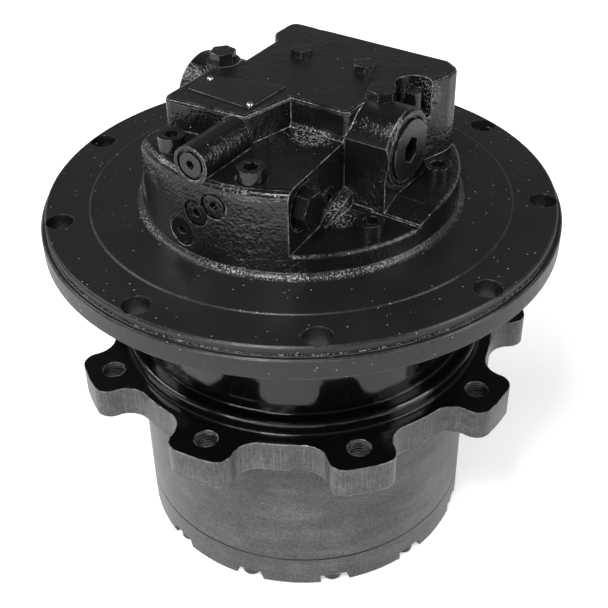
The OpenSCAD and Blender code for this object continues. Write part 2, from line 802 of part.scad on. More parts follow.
// The plate and its three pressed-in pins with their clips
module planet_carrier() {
    color("#5d5f62") {
        difference() {
            union() {
                ring(centre_r + first_pin_r + 7, 16, carrier_top - carrier_t, carrier_top);
                for (k = [0 : 2]) at_planet(k)
                    disc(first_pin_r + 5, first_top + seat_gap, carrier_top - carrier_t + 0.01);
            }
            for (k = [0 : 2]) at_planet(k) disc(first_pin_r, first_top, carrier_top + bite);
            around(3, 45, 60) disc(14, carrier_top - carrier_t - bite, carrier_top + bite);
        }
        for (k = [0 : 2]) at_planet(k) pin_with_clip(first_pin_r, first_bottom, carrier_top);
    }
}

// Pin with a groove for its clip, which lies just below the gear
module pin_with_clip(r, gear_bottom, top) {
    difference() {
        disc(r, gear_bottom - seat_gap - clip_t - 2, top);
        ring(r + 2, r - 1.2, gear_bottom - seat_gap - clip_t, gear_bottom - seat_gap);
    }
    ring(r + 4, r - 1.2, gear_bottom - seat_gap - clip_t, gear_bottom - seat_gap);
}

module hub_profile() {
    rotate_extrude($fn = 180) polygon([
        [seal_bore_r + 4, hub_top], [neck_r - 1, hub_top], [neck_r, hub_top - 1],
        [neck_r, -sprocket_face + 9.6], [neck_r + 0.4, -sprocket_face + 8.9],
        [neck_r + 1.2, -sprocket_face + 8.6], [neck_r + 7, -sprocket_face + 9.1],
        [neck_r + 8.2, -sprocket_face + 8.7], [neck_r + 9, -sprocket_face + 7.9],
        [neck_r + 9.3, -sprocket_face + 6.8], [neck_r + 9.3, -sprocket_face + 1.4],
        [neck_r + 9.7, -sprocket_face + 0.5], [neck_r + 11, -sprocket_face],
        [neck_r + 11, -sprocket_face - sprocket_t], [hub_r, -sprocket_face - sprocket_t],
        [hub_r, -seam + seam_bevel], [hub_r - seam_bevel, -seam],
        [spigot_r, -seam], [spigot_r, -seam + spigot_h + 2],
        [ring_root_r - 0.01, -seam + spigot_h + 2], [ring_root_r - 0.01, -spindle_end - 1],
        [ring_root_r + 1, -spindle_end - 1], [ring_root_r + 1, -spindle_end + 6],
        [bearing_bore_r, -spindle_end + 6], [bearing_bore_r, lower_bearing_z + bearing_w],
        [bearing_mid_r + 3, lower_bearing_z + bearing_w], [bearing_mid_r + 3, upper_bearing_z],
        [bearing_bore_r, upper_bearing_z], [bearing_bore_r, seal_seat_z],
        [seal_bore_r, seal_seat_z], [seal_bore_r, hub_top - 2]
    ]);
}

// Outline of the sprocket flange: tip, corner and hollow arcs that run into each other
module lobed_outline() {
    difference() {
        union() {
            circle(lobe_valley_r, $fn = 180);
            for (k = [0 : lobes - 1]) rotate(lobe_phase + 360 * k / lobes) {
                intersection() {
                    circle(lobe_tip_r, $fn = 180);
                    polygon([[0, 0], polar(2 * lobe_tip_r, -lobe_corner_a),
                        polar(2 * lobe_tip_r, lobe_corner_a)]);
                }
                polygon([
                    [0, 0], polar(lobe_valley_r, -lobe_hollow_a), lobe_touch(-1), lobe_corner(-1),
                    lobe_corner(1), lobe_touch(1), polar(lobe_valley_r, lobe_hollow_a)
                ]);
                for (side = [-1, 1]) translate(lobe_corner(side)) circle(lobe_corner_r);
            }
        }
        for (k = [0 : lobes - 1], side = [-1, 1]) rotate(lobe_phase + 360 * k / lobes)
            translate(lobe_hollow(side)) circle(lobe_hollow_r);
    }
}

module hub() {
    color("#2a2b2d") difference() {
        union() {
            hub_profile();
            translate([0, 0, -sprocket_face - sprocket_t]) linear_extrude(sprocket_t) difference() {
                lobed_outline();
                circle(neck_r);
            }
            ring_gear();
        }
        around(lobes, sprocket_bolt_circle_r, lobe_phase)
            disc(sprocket_hole_r, -sprocket_face - sprocket_t - bite, -sprocket_face + bite);
        around(end_screws, end_screw_circle_r, pocket_phase) disc(end_screw_r, -seam - bite, -seam + 16);
    }
}

module ring_gear() {
    translate([0, 0, -seam + spigot_h + 2]) linear_extrude(seam - spigot_h - 2 - spindle_end - 1)
        difference() {
        circle(ring_root_r + 3);
        polygon(gear_points(ring_teeth, ring_tip_r, ring_root_r, -tooth_play, 0));
    }
}

module end_cover() {
    color("#3a3b3e") difference() {
        rotate_extrude($fn = 180) polygon([
            [0, first_bottom - 1 - seat_gap], [9, first_bottom - 1 - seat_gap], [12, first_bottom - 5],
            [12, cover_inner_z], [spigot_r - 8, cover_inner_z], [spigot_r - 5, -seam + spigot_h],
            [spigot_r - fit_gap - 1, -seam + spigot_h], [spigot_r - fit_gap, -seam + spigot_h - 1],
            [spigot_r - fit_gap, -seam], [hub_r - seam_bevel, -seam],
            [hub_r, -seam - seam_bevel], [hub_r, -drive_end + 1.2],
            [hub_r - 1.2, -drive_end], [land_inner_r, -drive_end],
            [land_inner_r, pocket_z], [0, pocket_z]
        ]);
        for (k = [0 : end_screws - 1]) rotate(pocket_phase + 360 * k / end_screws)
            translate([land_inner_r - 2, 0, 0]) rotate([90, 0, 90]) linear_extrude(40) polygon([
                [-pocket_w / 2, pocket_z], [-pocket_w / 2, -drive_end - bite],
                [pocket_w / 2 + pocket_slope, -drive_end - bite], [pocket_w / 2, pocket_z]
            ]);
        around(end_screws, end_screw_circle_r, pocket_phase)
            disc(end_screw_r + 0.3, pocket_z - bite, -seam + bite);
        around(2, drain_circle_r, 90) disc(drain_r, pocket_z - bite, cover_inner_z + bite);
    }
}

module end_cover_screws() {
    color("#5d5f62") around(end_screws, end_screw_circle_r, pocket_phase) {
        difference() {
            disc(end_screw_head_r, pocket_z - end_screw_head_h, pocket_z);
            translate([0, 0, pocket_z - end_screw_head_h - bite]) hex(6, 3.5);
        }
        disc(end_screw_r - fit_gap, pocket_z - 0.01, -seam + 14);
    }
}

module end_cover_plugs() {
    color("#5d5f62") around(2, drain_circle_r, 90) translate([0, 0, pocket_z - 3]) mirror([0, 0, 1])
        socket_plug(drain_r + 3, 3, drain_r - fit_gap, 13, 10);
}

// Helical spring of round wire, from z = 0 up to its length
module coil_spring(mean_r, wire_r, length, turns) {
    sides = 6;
    steps = 12 * turns;
    rise = length - 2 * wire_r;
    points = [for (i = [0 : steps], j = [0 : sides - 1])
        let(a = 30 * i, b = 360 * j / sides, r = mean_r + wire_r * cos(b))
        [r * cos(a), r * sin(a), wire_r + rise * i / steps + wire_r * sin(b)]];
    skin = [for (i = [0 : steps - 1], j = [0 : sides - 1]) let(n = (j + 1) % sides)
        [i * sides + j, i * sides + n, (i + 1) * sides + n, (i + 1) * sides + j]];
    polyhedron(points, concat(
        skin,
        [[for (j = [sides - 1 : -1 : 0]) j]],
        [[for (j = [0 : sides - 1]) steps * sides + j]]
    ));
}

module cylinder_block() {
    color("#8d8f92") difference() {
        disc(block_r, block_bottom, block_top);
        for (k = [0 : pistons - 1]) rotate(360 * k / pistons) translate([bore_circle_r, 0, 0]) {
            disc(cylinder_bore_r, block_bottom - bite, block_top - 6);
            disc(4, block_top - 8, block_top + bite);
        }
        disc(guide_r + 0.5, block_bottom - bite, spring_ledge_z);
        translate([0, 0, spring_ledge_z - bite]) linear_extrude(30)
            polygon(spline_points(spline_r + fit_gap));
    }
}

module cylinder_block_spring() {
    color("#5d5f62") translate([0, 0, ball_centre_z + guide_top + fit_gap])
        coil_spring(16.2, 1.7, spring_ledge_z - ball_centre_z - guide_top - 2 * fit_gap, 5);
}

module retainer_guide() {
    color("#8d8f92") difference() {
        intersection() {
            translate([0, 0, ball_centre_z]) sphere(guide_r);
            disc(guide_r + 1, ball_centre_z - 8, ball_centre_z + guide_top);
        }
        disc(spline_r, ball_centre_z - 20, ball_centre_z + 20);
    }
}

module in_shoe_plane() {
    translate([0, 0, ball_centre_z]) rotate([swash_tilt, 0, 0]) children();
}

module retainer_plate() {
    color("#77797c") in_shoe_plane() difference() {
        disc(shoe_circle_r + 10.5, -shoe_sole + shoe_flange_t + fit_gap, -shoe_sole + shoe_flange_t + 2.8);
        sphere(guide_r + running_gap);
        around(pistons, shoe_circle_r) disc(shoe_cup_r + seat_gap, -20, 20);
    }
}

module piston_shoes() {
    color("#9a7a3c") in_shoe_plane() around(pistons, shoe_circle_r) difference() {
        union() {
            disc(shoe_r, -shoe_sole + fit_gap, -shoe_sole + shoe_flange_t);
            disc(shoe_cup_r, -shoe_sole + shoe_flange_t - 0.01, 3);
        }
        sphere(piston_ball_r + fit_gap, $fn = 64);
        disc(5, -shoe_sole - bite, -shoe_sole + 1);
    }
}

module piston(k) {
    color("#b9bbbe") translate(shoe_centre(k)) difference() {
        union() {
            sphere(piston_ball_r, $fn = 64);
            disc(piston_neck_r, 0, 13);
            translate([0, 0, 10]) cylinder(r1 = piston_neck_r, r2 = piston_r, h = 3.01);
            disc(piston_r, 13, piston_top_z - ball_centre_z);
        }
        disc(6, 20, piston_top_z - ball_centre_z + bite);
    }
}

module drive_shaft() {
    color("#9da0a4") difference() {
        union() {
            disc(shaft_top_r, 0, shaft_top);
            disc(spline_r - 1.6, spring_ledge_z, block_top + 3);
            translate([0, 0, spring_ledge_z]) linear_extrude(block_top - spring_ledge_z)
                polygon(spline_points(spline_r));
            disc(spline_r - fit_gap, cavity_floor + 1, spring_ledge_z);
            disc(shaft_r, shaft_bottom, cavity_floor + 3);
        }
        disc(stem_r + fit_gap, shaft_bottom - bite, cavity_floor - 3);
    }
}

module counterbalance_spool() {
    color("#b9bbbe") translate([0, barrel_y, valve_axis_z]) along_x() rotate_extrude() polygon([
        [0, -spool_half], [valve_bore_r - fit_gap, -spool_half], [valve_bore_r - fit_gap, -24],
        [7, -24], [7, -12], [valve_bore_r - fit_gap, -12], [valve_bore_r - fit_gap, 12],
        [7, 12], [7, 24], [valve_bore_r - fit_gap, 24], [valve_bore_r - fit_gap, spool_half],
        [0, spool_half]
    ]);
}

module spool_spring() {
    translate([spool_half + fit_gap, 0, 0]) along_x()
        coil_spring(valve_bore_r - 2.4, 1.2, barrel_right + 1.5 - plug_reach - spool_half - 2 * fit_gap, 4);
}

module right_spool_spring() {
    color("#5d5f62") translate([0, barrel_y, valve_axis_z]) spool_spring();
}

module left_spool_spring() {
    left_gap = -barrel_left + 1.5 - plug_reach - spool_half - 2 * fit_gap;
    color("#5d5f62") translate([-spool_half - fit_gap, barrel_y, valve_axis_z]) mirror([1, 0, 0]) along_x()
        coil_spring(valve_bore_r - 2.4, 1.2, left_gap, 4);
}

module speed_spool() {
    color("#b9bbbe") translate([speed_x, speed_spool_y, speed_z]) along_y() rotate_extrude() polygon([
        [0, 0], [speed_bore_r - fit_gap, 0], [speed_bore_r - fit_gap, 8], [4, 8], [4, 14],
        [speed_bore_r - fit_gap, 14], [speed_bore_r - fit_gap, 24], [0, 24]
    ]);
}

module speed_spool_spring() {
    color("#5d5f62") translate([speed_x, speed_end + 17 + fit_gap, speed_z]) along_y()
        coil_spring(speed_bore_r - 1.6, 0.9, speed_spool_y - speed_end - 17 - 2 * fit_gap, 4);
}

motor_housing();
valve_block();
valve_block_screws();
spool_end_plugs();
speed_valve_plug();
hex_port_plug();
socket_plugs();
hex_head_plugs();
relief_valve();
valve_plate();
swash_plate();
swash_pivot_balls();
rear_shaft_bearing();
front_bearing_outer_ring();
shaft_seal();
separator_plates();
main_bearing_inner_rings();
bearing_nut();
fixed_seal_ring();
second_stage_pins();
block_sealing_ring();
brake_piston();
brake_disc_spring();
counterbalance_spool();
left_spool_spring();
right_spool_spring();
speed_spool();
speed_spool_spring();
drive_shaft();
cylinder_block();
cylinder_block_spring();
retainer_guide();
friction_plates();
front_bearing_inner_ring();
front_bearing_balls();
first_sun_gear();
piston_shoes();
retainer_plate();
piston(0);  // piston_1
piston(1);  // piston_2
piston(2);  // piston_3
piston(3);  // piston_4
piston(4);  // piston_5
piston(5);  // piston_6
piston(6);  // piston_7
hub();
main_bearing_outer_rings();
main_bearing_balls();
rotating_seal_ring();
end_cover();
end_cover_screws();
end_cover_plugs();
planet_carrier();
second_sun_gear();
first_planet(0);  // first_planet_1
first_planet(1);  // first_planet_2
first_planet(2);  // first_planet_3
second_planet(0);  // second_planet_1
second_planet(1);  // second_planet_2
second_planet(2);  // second_planet_3
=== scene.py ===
"""Looks of a hydraulic drive motor: painted castings, threads, a bare plate, the studio and the camera.

Lengths are metres, in the CAD frame: Z is the axis of rotation, and z = 0 is the face of the frame flange.
"""

import json
import math

import bmesh
import bpy
from mathutils import Matrix, Vector


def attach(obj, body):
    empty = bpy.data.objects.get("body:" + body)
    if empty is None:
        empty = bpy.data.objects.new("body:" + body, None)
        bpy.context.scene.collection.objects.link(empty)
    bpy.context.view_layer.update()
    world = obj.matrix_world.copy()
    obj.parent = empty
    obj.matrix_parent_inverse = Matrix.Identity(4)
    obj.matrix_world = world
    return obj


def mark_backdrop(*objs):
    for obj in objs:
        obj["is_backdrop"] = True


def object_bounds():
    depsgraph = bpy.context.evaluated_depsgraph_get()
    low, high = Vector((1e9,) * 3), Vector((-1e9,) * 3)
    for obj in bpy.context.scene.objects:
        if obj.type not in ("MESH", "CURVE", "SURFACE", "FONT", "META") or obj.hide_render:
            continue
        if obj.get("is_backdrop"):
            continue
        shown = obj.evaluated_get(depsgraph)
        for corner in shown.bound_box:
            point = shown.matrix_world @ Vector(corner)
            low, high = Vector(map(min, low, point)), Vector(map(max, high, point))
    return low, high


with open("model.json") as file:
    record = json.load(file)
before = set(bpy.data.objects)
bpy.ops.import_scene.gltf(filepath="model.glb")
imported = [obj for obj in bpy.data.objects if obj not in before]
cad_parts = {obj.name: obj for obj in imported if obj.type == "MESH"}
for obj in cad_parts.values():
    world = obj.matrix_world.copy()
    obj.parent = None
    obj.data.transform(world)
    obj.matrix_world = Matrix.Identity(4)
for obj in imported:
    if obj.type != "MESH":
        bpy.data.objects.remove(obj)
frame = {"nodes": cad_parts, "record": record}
nodes = frame["nodes"]
mm = 0.001
cad_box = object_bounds()

# Sizes shared with the solids
FOOT_R = 97 * mm
RIM_LEVEL = -5.5 * mm
GROOVE_LEVEL = -5.2 * mm
GROOVE_R = 155 * mm
NECK_FOOT_R = 121 * mm
LOBE_TOP = -98.5 * mm
LOBE_BOTTOM = -119 * mm
LOBE_COUNT = 9
LOBE_HOLE_CIRCLE = 131.8 * mm
LOBE_HOLE_R = 7.0 * mm
FIRST_LOBE_TURN = math.radians(38.1)
COVER_SEAM = -215.5 * mm
DECK_LEVEL = 54.5 * mm
BLOCK_TOP = 72.7 * mm
BLOCK_BACK = 72 * mm
MAIN_PORT_PLACES = ((22 * mm, 40 * mm), (-22 * mm, 40 * mm))
DRAIN_PORT_PLACE = (0, 22 * mm)
PILOT_PORT_PLACE = (44 * mm, 58 * mm)
FLOOR_LEVEL = cad_box[0].z

# Places on the valve block where the casting is rough, the first three also carrying painted highlights,
# and the level above which it is milled
RECESS_CORNER = (52 * mm, -36 * mm, 20 * mm)
POCKET_WALL = (62 * mm, 38 * mm, 62 * mm)
DECK_CORNER = (24 * mm, -22 * mm, 54 * mm)
FRONT_WALL = (26 * mm, -92 * mm, 20 * mm)
MILLED_FROM = 66 * mm


# Shader building blocks


class Finish:
    """A node material: one glossy shader, and short ways to add the nodes that feed it."""

    def __init__(self, name, metal=0.0):
        self.material = bpy.data.materials.new(name)
        self.material.use_nodes = True
        self.tree = self.material.node_tree
        self.shader = self.tree.nodes["Principled BSDF"]
        self.shader.inputs["Metallic"].default_value = metal
        self.place = self.node("ShaderNodeTexCoord").outputs["Object"]

    def node(self, kind, **settings):
        made = self.tree.nodes.new(kind)
        for key, value in settings.items():
            setattr(made, key, value)
        return made

    def feed(self, socket, value):
        if isinstance(value, bpy.types.NodeSocket):
            self.tree.links.new(value, socket)
        elif isinstance(value, tuple) and len(value) < len(socket.default_value):
            socket.default_value = value + (1.0,)
        else:
            socket.default_value = value

    def math(self, operation, a, b=0.0, c=0.0):
        made = self.node("ShaderNodeMath", operation=operation)
        for socket, value in zip(made.inputs, (a, b, c)):
            self.feed(socket, value)
        return made.outputs[0]

    def noise(self, size, detail=2.0, roughness=0.5, place=None):
        """Smooth noise whose lumps are about the given size in metres."""
        made = self.node("ShaderNodeTexNoise")
        self.feed(made.inputs["Vector"], place or self.place)
        made.inputs["Scale"].default_value = 0.5 / size
        made.inputs["Detail"].default_value = detail
        made.inputs["Roughness"].default_value = roughness
        return made.outputs["Fac"]

    def cells(self, size, output="Distance"):
        """Distance from the nearest of many scattered points, or its random colour."""
        made = self.node("ShaderNodeTexVoronoi")
        self.feed(made.inputs["Vector"], self.place)
        made.inputs["Scale"].default_value = 1 / size
        return made.outputs[output]

    def stretched(self, factors):
        made = self.node("ShaderNodeVectorMath", operation="MULTIPLY")
        self.feed(made.inputs[0], self.place)
        made.inputs[1].default_value = factors
        return made.outputs[0]

    def map(self, value, low, high, start=0.0, end=1.0):
        """Value from low to high, turned into start to end and held there."""
        made = self.node("ShaderNodeMapRange")
        for key, number in zip(("From Min", "From Max", "To Min", "To Max"), (low, high, start, end)):
            made.inputs[key].default_value = number
        self.feed(made.inputs["Value"], value)
        return made.outputs[0]

    def mix(self, share, a, b):
        """Number or colour between a and b."""
        made = self.node("ShaderNodeMix")
        if isinstance(a, tuple) or isinstance(b, tuple):
            made.data_type = "RGBA"
            sockets = [s for s in made.inputs if s.type == "RGBA"]
            out = [s for s in made.outputs if s.type == "RGBA"][0]
        else:
            sockets = [s for s in made.inputs if s.type == "VALUE" and s.name in "AB"]
            out = [s for s in made.outputs if s.type == "VALUE"][0]
        self.feed(made.inputs["Factor"], share)
        self.feed(sockets[0], a)
        self.feed(sockets[1], b)
        return out

    def axis(self, letter):
        split = self.node("ShaderNodeSeparateXYZ")
        self.feed(split.inputs[0], self.place)
        return split.outputs[letter]

    def radius(self):
        """Distance from the axis of rotation."""
        flat = self.stretched((1, 1, 0))
        made = self.node("ShaderNodeVectorMath", operation="LENGTH")
        self.feed(made.inputs[0], flat)
        return made.outputs["Value"]

    def facing(self, letter):
        """Part of the surface's own direction along one axis of the object."""
        split = self.node("ShaderNodeSeparateXYZ")
        self.feed(split.inputs[0], self.node("ShaderNodeTexCoord").outputs["Normal"])
        return split.outputs[letter]

    def soft_edge(self, radius, samples=4):
        made = self.node("ShaderNodeBevel", samples=samples)
        made.inputs["Radius"].default_value = radius
        return made.outputs[0]

    def edge_share(self, radius):
        """1 on the object's edges and 0 on its faces."""
        made = self.node("ShaderNodeVectorMath", operation="DOT_PRODUCT")
        self.feed(made.inputs[0], self.soft_edge(radius))
        self.feed(made.inputs[1], self.node("ShaderNodeNewGeometry").outputs["Normal"])
        return self.map(made.outputs["Value"], 0.995, 0.9)

    def bump(self, height, depth, below=None):
        made = self.node("ShaderNodeBump")
        made.inputs["Strength"].default_value = 1.0
        made.inputs["Distance"].default_value = depth
        self.feed(made.inputs["Height"], height)
        if below is not None:
            self.feed(made.inputs["Normal"], below)
        return made.outputs[0]

    def finish(self, colour, roughness, normal=None):
        self.feed(self.shader.inputs["Base Color"], colour)
        self.feed(self.shader.inputs["Roughness"], roughness)
        if normal is not None:
            self.feed(self.shader.inputs["Normal"], normal)
        return self.material


def grey(value):
    return (value, value, value)


def white_specks(f, size, share):
    """Small pale specks on a share of the cells."""
    near = f.map(f.cells(size), 0.15, 0.09)
    picked = f.map(f.cells(size, "Color"), 1 - share - 0.01, 1 - share + 0.01)
    return f.math("MULTIPLY", near, picked)


def near_spot(f, middle, reach):
    """1 close to a point of the object and 0 beyond its reach, with a ragged limit."""
    made = f.node("ShaderNodeVectorMath", operation="DISTANCE")
    f.feed(made.inputs[0], f.place)
    made.inputs[1].default_value = middle
    ragged = f.math("ADD", made.outputs["Value"], f.math("MULTIPLY", f.noise(3 * mm), 0.6 * reach))
    return f.map(ragged, 1.1 * reach, 0.7 * reach)


def ring_band(f, radius, width):
    """1 on a band round the axis of rotation and 0 beside it."""
    off = f.math("ABSOLUTE", f.math("SUBTRACT", f.radius(), radius))
    return f.map(off, width, 0.5 * width)


def combine(f, x, y):
    made = f.node("ShaderNodeCombineXYZ")
    f.feed(made.inputs[0], x)
    f.feed(made.inputs[1], y)
    return made.outputs[0]


def cast_paint():
    """Glossy black paint over a rough casting, more even on its milled top, with painted highlights at a
    few rough spots and on its edges.
    """
    f = Finish("cast_paint")
    milled = f.map(f.axis("Z"), MILLED_FROM, MILLED_FROM + 2 * mm, 0.35, 1.0)
    level = f.math("MULTIPLY", f.map(f.facing("Z"), 0.9, 0.98), milled)
    # rough spots of the casting, which below also carry painted highlights
    coarse_and_glint_spots = f.math("MAXIMUM", near_spot(f, RECESS_CORNER, 15 * mm), near_spot(f, POCKET_WALL, 17 * mm))
    on_deck = f.map(f.axis("Z"), DECK_LEVEL + 4.5 * mm, DECK_LEVEL + 1.5 * mm)
    coarse_and_glint_spots = f.math("MAXIMUM", coarse_and_glint_spots, f.math("MULTIPLY", on_deck, near_spot(f, DECK_CORNER, 20 * mm)))
    pebbles = f.noise(1.0 * mm, detail=3)
    waves = f.noise(3 * mm)
    patches = f.map(f.noise(20 * mm), 0.42, 0.6, 0.4, 1.0)
    rough = f.math("MULTIPLY", patches, f.mix(level, 1.0, 0.3))
    rough = f.math("MAXIMUM", rough, f.math("MULTIPLY", coarse_and_glint_spots, 1.3))
    rough = f.math("MAXIMUM", rough, f.math("MULTIPLY", near_spot(f, FRONT_WALL, 34 * mm), 1.1))
    height = f.math("MULTIPLY", f.math("ADD", pebbles, waves), rough)
    normal = f.bump(height, 0.8 * mm, f.soft_edge(1.1 * mm))
    edge_patches = f.map(f.noise(1.2 * mm), 0.42, 0.58, 0.25, 1.0)
    uneven = f.map(f.noise(9 * mm), 0.35, 0.6)
    # bright edges: partly paint rubbed off, partly painted highlight
    wear_and_edge_highlight = f.math("MULTIPLY", f.edge_share(0.9 * mm), f.math("MULTIPLY", edge_patches, uneven))
    # painted highlights: pale glints on the rough spots at the recess corner, the pocket's wall and the
    # deck's corner
    glints = f.math("MULTIPLY", coarse_and_glint_spots, f.map(f.noise(0.55 * mm), 0.55, 0.62))
    paint = f.mix(f.noise(9 * mm), grey(0.003), grey(0.007))
    colour = f.mix(f.math("MAXIMUM", wear_and_edge_highlight, f.math("MULTIPLY", glints, 0.6)), paint, grey(0.5))
    # painted highlights: pale specks near the deck's corner, joined to the pale specks spread everywhere
    deck_glint_specks = f.math("MULTIPLY", near_spot(f, DECK_CORNER, 34 * mm), white_specks(f, 1.9 * mm, 0.3))
    specked = f.mix(f.math("MAXIMUM", deck_glint_specks, white_specks(f, 2.4 * mm, 0.12)), colour, grey(0.55))
    gloss = f.mix(level, f.mix(pebbles, 0.08, 0.22), f.mix(pebbles, 0.3, 0.46))
    return f.finish(specked, gloss, normal)


def flange_paint():
    """Satin black paint on the turned flange, rough round its foot and greyer on its rim, with painted
    highlights on the foot's bead and in the rim's groove.
    """
    f = Finish("flange_paint")
    grain = f.noise(0.7 * mm, detail=3)
    turned = f.noise(1.2 * mm, place=combine(f, f.radius(), f.axis("Z")))
    uneven = f.map(f.noise(22 * mm, detail=3), 0.42, 0.6, 0.15, 1.0)
    # bands that are bumpy and, below, also carry painted highlights
    foot = f.math("MULTIPLY", ring_band(f, FOOT_R + 1.6 * mm, 2.2 * mm), uneven)
    off_groove = f.math("ABSOLUTE", f.math("SUBTRACT", f.axis("Z"), GROOVE_LEVEL))
    outer = f.map(f.radius(), GROOVE_R, GROOVE_R + 0.5 * mm)
    lip = f.math("MULTIPLY", f.map(off_groove, 0.9 * mm, 0.4 * mm), outer)
    lumps_and_glints = f.math("MAXIMUM", foot, lip)
    height = f.math("ADD", grain, f.math("MULTIPLY", turned, 0.3))
    height = f.math("ADD", height, f.math("MULTIPLY", lumps_and_glints, f.math("MULTIPLY", f.noise(0.8 * mm), 5.0)))
    normal = f.bump(height, 0.16 * mm, f.soft_edge(1.1 * mm))
    f.shader.inputs["Specular IOR Level"].default_value = 0.42
    rim = f.map(f.axis("Z"), RIM_LEVEL, RIM_LEVEL - 1 * mm)
    paint = f.mix(f.noise(14 * mm, detail=4), grey(0.005), grey(0.013))
    banded = f.mix(rim, paint, f.mix(f.noise(2 * mm, detail=4), grey(0.003), grey(0.016)))
    # bright edges, stronger on the rim: partly paint rubbed off, partly painted highlight
    wear_and_edge_highlight = f.math("MULTIPLY", f.edge_share(0.7 * mm), f.map(f.noise(8 * mm, detail=3), 0.4, 0.65))
    wear_and_edge_highlight = f.math("MULTIPLY", wear_and_edge_highlight, f.mix(rim, 0.2, 0.7))
    # painted highlights: pale glints on the bead round the foot and in the rim's groove
    glints = f.math("MULTIPLY", lumps_and_glints, f.map(f.noise(0.6 * mm), 0.53, 0.6))
    colour = f.mix(f.math("MAXIMUM", wear_and_edge_highlight, f.math("MULTIPLY", glints, 0.8)), banded, grey(0.3))
    specked = f.mix(white_specks(f, 3.2 * mm, 0.3), colour, grey(0.3))
    return f.finish(specked, f.mix(lumps_and_glints, f.mix(grain, 0.26, 0.42), 0.16), normal)


def hub_paint():
    """Black gloss on the lobes and neck, greyer satin on the lobes' sides and below."""
    f = Finish("hub_paint")
    below = f.map(f.axis("Z"), LOBE_BOTTOM - 1 * mm, LOBE_BOTTOM - 2 * mm)
    outside = f.map(f.radius(), NECK_FOOT_R, NECK_FOOT_R + 1 * mm)
    upright = f.map(f.math("ABSOLUTE", f.facing("Z")), 0.6, 0.3)
    satin = f.math("MAXIMUM", below, f.math("MULTIPLY", outside, upright))
    streaks = f.noise(12 * mm, detail=5, roughness=0.65, place=f.stretched((0.35, 0.35, 2.2)))
    smudges = f.noise(30 * mm, detail=6, roughness=0.7)
    waves = f.noise(7 * mm, detail=2)
    grain = f.noise(0.7 * mm, detail=3)
    height = f.math("ADD", waves, f.math("MULTIPLY", grain, f.mix(satin, 0.05, 0.3)))
    normal = f.bump(height, 0.3 * mm, f.soft_edge(1.3 * mm))
    round_lines = f.map(f.noise(0.5 * mm, detail=3, place=f.stretched((0.06, 0.06, 1))), 0.5, 0.72)
    upright_lines = f.map(f.noise(0.6 * mm, detail=3, place=f.stretched((1, 1, 0.08))), 0.5, 0.72)
    lines = f.mix(outside, f.math("MULTIPLY", round_lines, f.map(smudges, 0.45, 0.6)), upright_lines)
    bare = f.mix(f.map(f.math("MULTIPLY", streaks, smudges), 0.15, 0.4), grey(0.008), grey(0.09))
    grained = f.mix(f.map(grain, 0.35, 0.65), f.mix(0.5, bare, grey(0.01)), f.mix(0.25, bare, grey(0.17)))
    scratched = f.mix(f.math("MULTIPLY", lines, 0.2), grained, grey(0.3))
    off_seam = f.math("ABSOLUTE", f.math("SUBTRACT", f.axis("Z"), COVER_SEAM))
    off_seam = f.map(off_seam, 0.6 * mm, 1.0 * mm)
    paint = f.mix(satin, grey(0.0025), f.mix(off_seam, grey(0.004), scratched))
    # bright edges: partly paint rubbed off, partly painted highlight
    wear_and_edge_highlight = f.math("MULTIPLY", f.edge_share(0.9 * mm), f.map(f.noise(2.5 * mm, detail=3), 0.4, 0.62))
    wear_and_edge_highlight = f.math("MULTIPLY", wear_and_edge_highlight, f.math("MULTIPLY", off_seam, f.math("MAXIMUM", below, outside)))
    colour = f.mix(wear_and_edge_highlight, paint, grey(0.5))
    specked = f.mix(white_specks(f, 5 * mm, 0.06), colour, grey(0.4))
    rough = f.mix(satin, 0.12, f.mix(smudges, 0.26, 0.44))
    return f.finish(specked, rough, normal)


def plug_paint():
    """Dark satin plug faces with bright rims, partly paint rubbed off and partly painted highlight."""
    f = Finish("plug_paint")
    grain = f.noise(0.8 * mm, detail=3)
    normal = f.bump(grain, 0.1 * mm, f.soft_edge(0.6 * mm))
    paint = f.mix(f.noise(7 * mm, detail=4), grey(0.003), grey(0.012))
    # bright rims: partly paint rubbed off, partly painted highlight
    wear_and_edge_highlight = f.math("MULTIPLY", f.edge_share(0.6 * mm), f.map(f.noise(3 * mm), 0.35, 0.65))
    colour = f.mix(f.math("MULTIPLY", wear_and_edge_highlight, 0.7), paint, grey(0.3))
    return f.finish(colour, f.mix(grain, 0.14, 0.3), normal)


def fastener_paint():
    """Black gloss on screw and plug heads, with bright rims, partly paint rubbed off and partly painted
    highlight.
    """
    f = Finish("fastener_paint")
    lumps = f.noise(1.6 * mm, detail=2)
    normal = f.bump(lumps, 0.3 * mm, f.soft_edge(0.6 * mm))
    paint = f.mix(f.noise(5 * mm), grey(0.003), grey(0.01))
    # bright rims: partly paint rubbed off, partly painted highlight
    wear_and_edge_highlight = f.math("MULTIPLY", f.edge_share(0.5 * mm), f.map(f.noise(2.5 * mm), 0.5, 0.7))
    colour = f.mix(f.math("MULTIPLY", wear_and_edge_highlight, 0.7), paint, grey(0.4))
    return f.finish(colour, f.mix(lumps, 0.08, 0.2), normal)


def steel(name, tint, roughness, line=0.5 * mm):
    """Turned or ground steel with fine lines round the axis of rotation."""
    f = Finish(name, metal=1.0)
    lines = f.noise(line, detail=3, place=combine(f, f.radius(), f.axis("Z")))
    stain = f.noise(12 * mm, detail=4)
    normal = f.bump(lines, 0.03 * mm, f.soft_edge(0.5 * mm))
    colour = f.mix(stain, tuple(0.8 * c for c in tint), tint)
    return f.finish(colour, f.mix(lines, roughness * 0.8, roughness * 1.3), normal)


